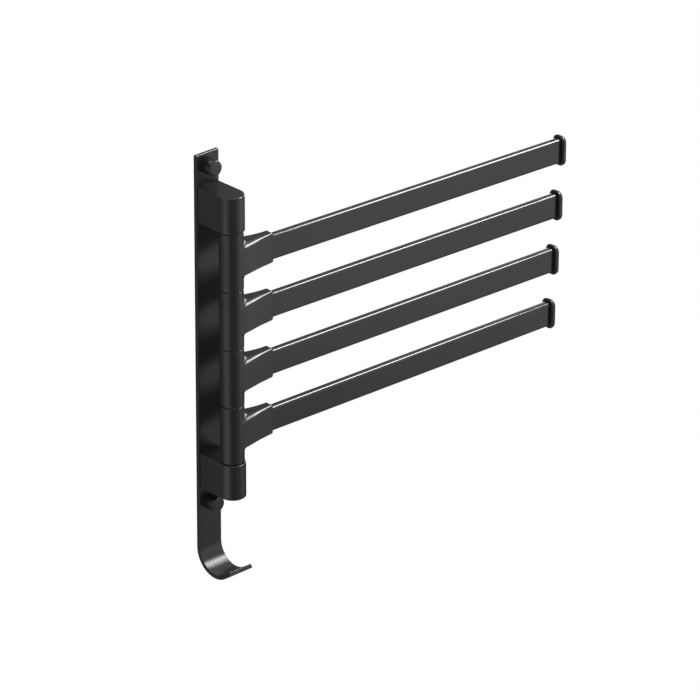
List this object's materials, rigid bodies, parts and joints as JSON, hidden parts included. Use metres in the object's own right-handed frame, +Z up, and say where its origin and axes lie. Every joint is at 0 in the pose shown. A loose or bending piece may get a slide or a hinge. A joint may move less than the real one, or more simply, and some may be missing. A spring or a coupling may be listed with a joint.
{
  "type": "swing arm towel bar",
  "caption": "Wall-mounted towel rack with flat bars that swing on an upright pivot, and a flat back plate bent into a hook at its foot, in satin black.",
  "frame": {"origin": "midway between the two wall screw holes, on the back face of the wall plate", "axes": "+X right along the wall, the side the arms point to at rest; +Y into the wall; +Z up"},
  "size_m": [0.2978, 0.0489, 0.303],
  "materials": {
    "black_metal": "satin black lacquer on aluminium",
    "black_casting": "satin black lacquer on cast aluminium",
    "black_cap": "semi-gloss black plastic",
    "black_cover": "semi-gloss black plastic",
    "dark_nylon": "matte",
    "pale_nylon": "matte",
    "black_screw": "black oxide, satin",
    "steel": "satin"
  },
  "bodies": {
    "wall_frame": {"wall_plate": "black_metal", "upper_bracket": "black_metal", "lower_bracket": "black_metal", "bracket_screws": "steel", "pivot_rod": "steel", "rod_plug": "black_screw", "upper_cover_base": "dark_nylon", "lower_cover_base": "dark_nylon", "upper_screw_cover": "black_cover", "lower_screw_cover": "black_cover", "thrust_washer_1": "dark_nylon", "thrust_washer_2": "dark_nylon", "thrust_washer_3": "dark_nylon", "thrust_washer_4": "dark_nylon", "thrust_washer_5": "dark_nylon"},
    "arm_1": {"swing_barrel_1": "black_casting", "upper_bush_1": "pale_nylon", "lower_bush_1": "pale_nylon", "towel_bar_1": "black_metal", "end_cap_1": "black_cap", "bar_screw_1": "black_screw"},
    "arm_2": {"swing_barrel_2": "black_casting", "upper_bush_2": "pale_nylon", "lower_bush_2": "pale_nylon", "towel_bar_2": "black_metal", "end_cap_2": "black_cap", "bar_screw_2": "black_screw"},
    "arm_3": {"swing_barrel_3": "black_casting", "upper_bush_3": "pale_nylon", "lower_bush_3": "pale_nylon", "towel_bar_3": "black_metal", "end_cap_3": "black_cap", "bar_screw_3": "black_screw"},
    "arm_4": {"swing_barrel_4": "black_casting", "upper_bush_4": "pale_nylon", "lower_bush_4": "pale_nylon", "towel_bar_4": "black_metal", "end_cap_4": "black_cap", "bar_screw_4": "black_screw"}
  },
  "joints": [
    {"name": "arm_1_swing", "type": "hinge", "parent": "wall_frame", "child": "arm_1", "pos_m": [0, -0.0255, 0.06263], "axis": [0, 0, -1], "range_deg": [-3.6, 176.4]},
    {"name": "arm_2_swing", "type": "hinge", "parent": "wall_frame", "child": "arm_2", "pos_m": [0, -0.0255, 0.02088], "axis": [0, 0, -1], "range_deg": [-3.1, 176.9]},
    {"name": "arm_3_swing", "type": "hinge", "parent": "wall_frame", "child": "arm_3", "pos_m": [0, -0.0255, -0.02088], "axis": [0, 0, -1], "range_deg": [-2.6, 177.4]},
    {"name": "arm_4_swing", "type": "hinge", "parent": "wall_frame", "child": "arm_4", "pos_m": [0, -0.0255, -0.06263], "axis": [0, 0, -1], "range_deg": [-2.1, 177.9]}
  ]
}
